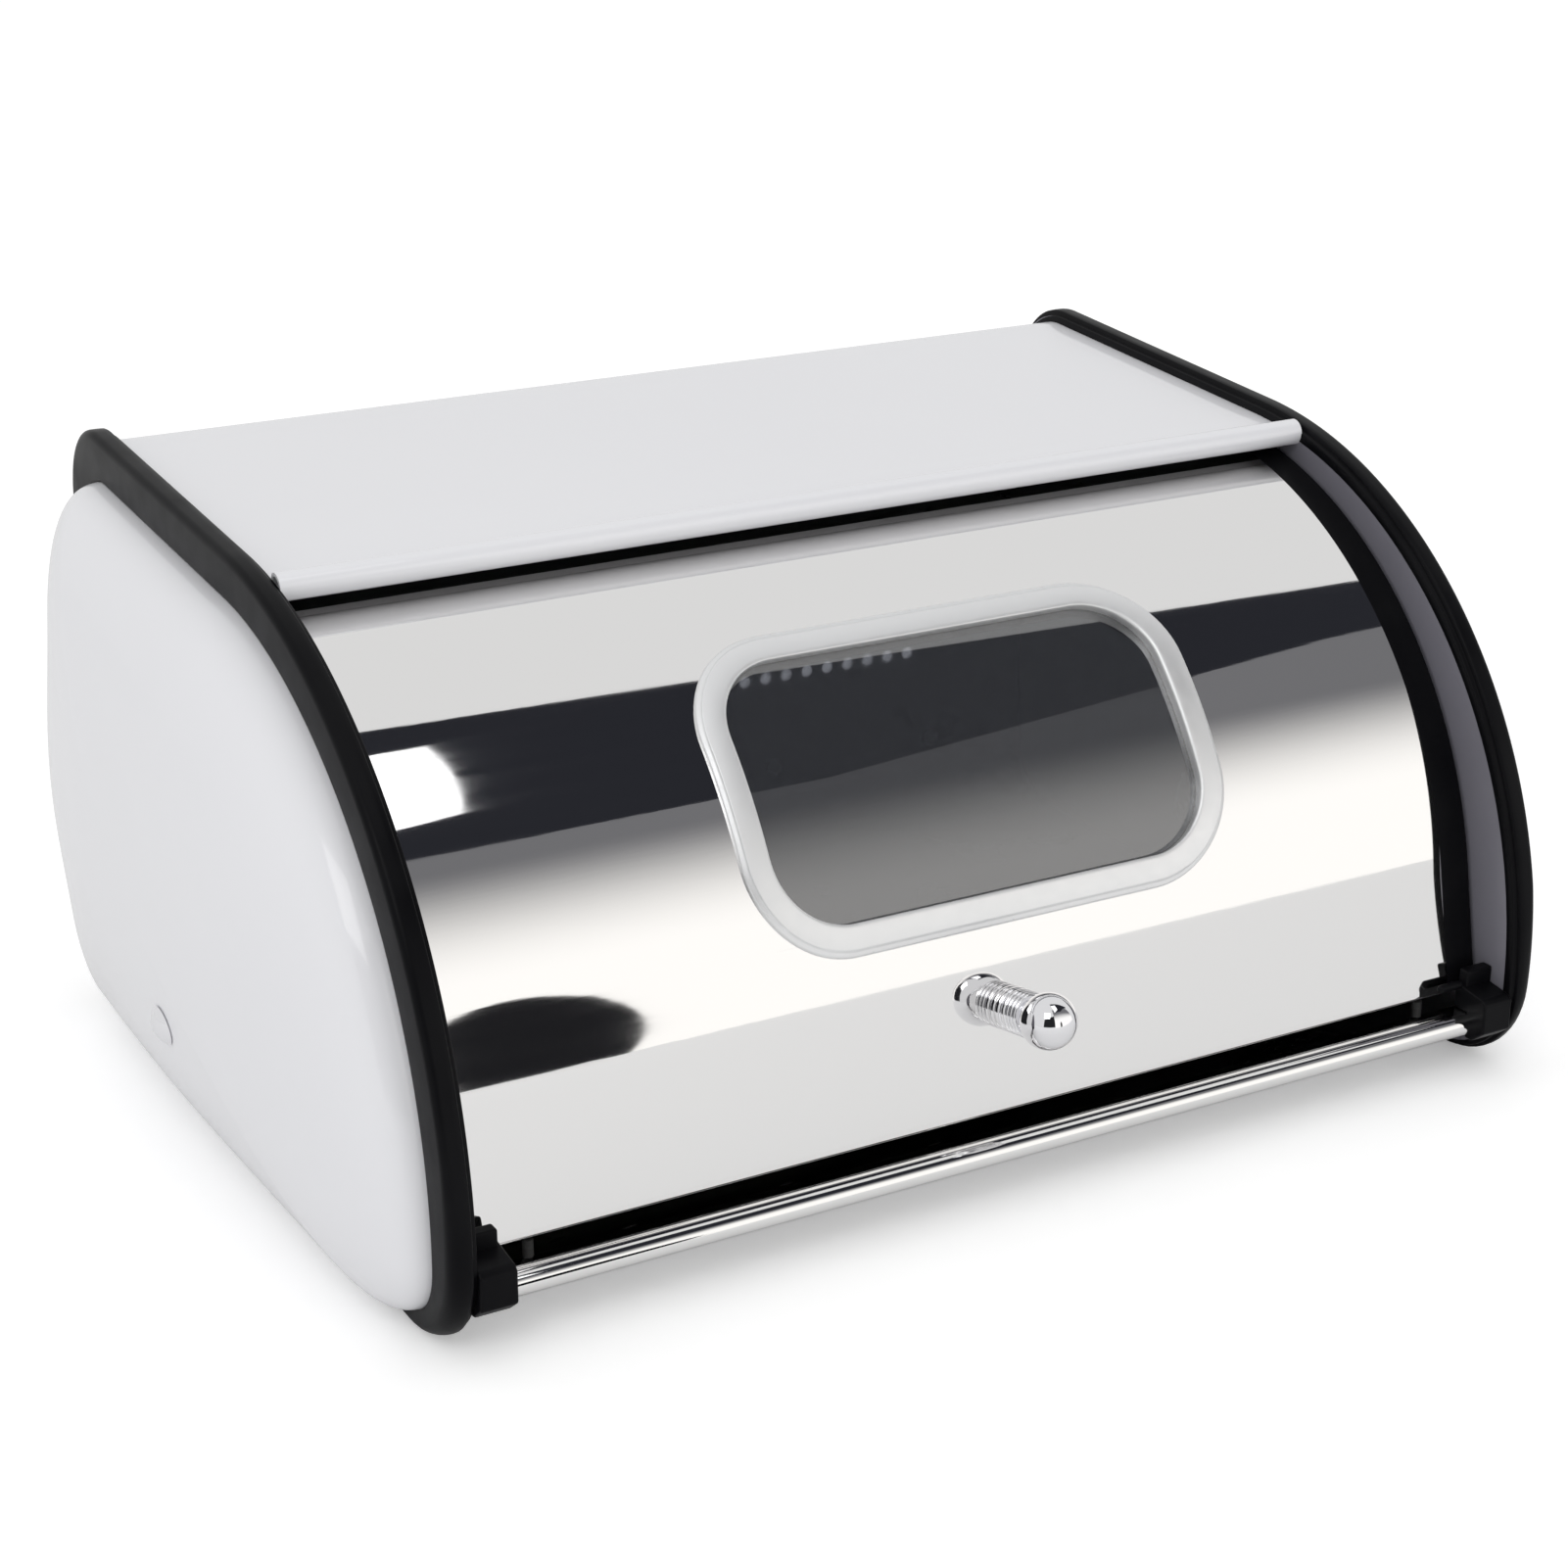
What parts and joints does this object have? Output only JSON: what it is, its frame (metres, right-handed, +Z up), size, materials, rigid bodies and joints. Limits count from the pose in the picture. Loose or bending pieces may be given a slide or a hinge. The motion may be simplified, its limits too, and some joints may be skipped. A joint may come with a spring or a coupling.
{
  "type": "bread bin",
  "caption": "Roll-top bread bin with domed white ends, black edge trims and a polished curved door with a window that swings up and back.",
  "frame": {"origin": "bottom centre of the closed bin's box, on the surface that it stands on", "axes": "+X to the right across the bin's width, -Y out of the front, towards the user, +Z up"},
  "size_m": [0.4152, 0.2792, 0.1869],
  "materials": {
    "white_paint": "glossy white baked enamel",
    "black_trim": "soft-sheen black moulded plastic",
    "grey_gloss_plate": "glossy dark grey enamel",
    "polished_steel": "mirror polished stainless steel",
    "satin_aluminium": "satin anodised aluminium",
    "smoked_pane": "lightly smoked clear pane",
    "chrome_plate": "bright chrome plate",
    "bright_steel": "zinc plated steel",
    "white_nylon": "white nylon",
    "black_rubber": "black rubber"
  },
  "bodies": {
    "root": {"base_panel": "white_paint", "back_panel": "white_paint", "top_panel": "white_paint", "top_seam_rivets": "bright_steel", "base_seam_rivets": "bright_steel", "side_plate_left": "grey_gloss_plate", "side_plate_right": "grey_gloss_plate", "edge_trim_left": "black_trim", "edge_trim_right": "black_trim", "end_cover_left": "white_paint", "end_cover_right": "white_paint", "cover_rivet_left": "chrome_plate", "cover_rivet_right": "chrome_plate", "sill_strip": "polished_steel", "sill_bracket_left": "black_trim", "sill_bracket_right": "black_trim", "door_buffer_left": "black_rubber", "door_buffer_right": "black_rubber", "pivot_pin_left": "bright_steel", "pivot_pin_right": "bright_steel", "pivot_washer_left": "white_nylon", "pivot_washer_right": "white_nylon", "push_nut_left": "bright_steel", "push_nut_right": "bright_steel"},
    "door": {"door_panel": "polished_steel", "door_arm_left": "bright_steel", "door_arm_right": "bright_steel", "arm_bush_left": "white_nylon", "arm_bush_right": "white_nylon", "arm_studs": "bright_steel", "window_frame": "satin_aluminium", "window_pane": "smoked_pane", "window_retainer": "black_trim", "window_screws": "bright_steel", "door_knob": "chrome_plate", "knob_washer": "bright_steel", "knob_screw": "bright_steel"}
  },
  "joints": [
    {"name": "door_hinge", "type": "hinge", "parent": "root", "child": "door", "pos_m": [0, 0.0175, 0.0355], "axis": [-1, 0, 0], "range_deg": [0, 60]}
  ]
}
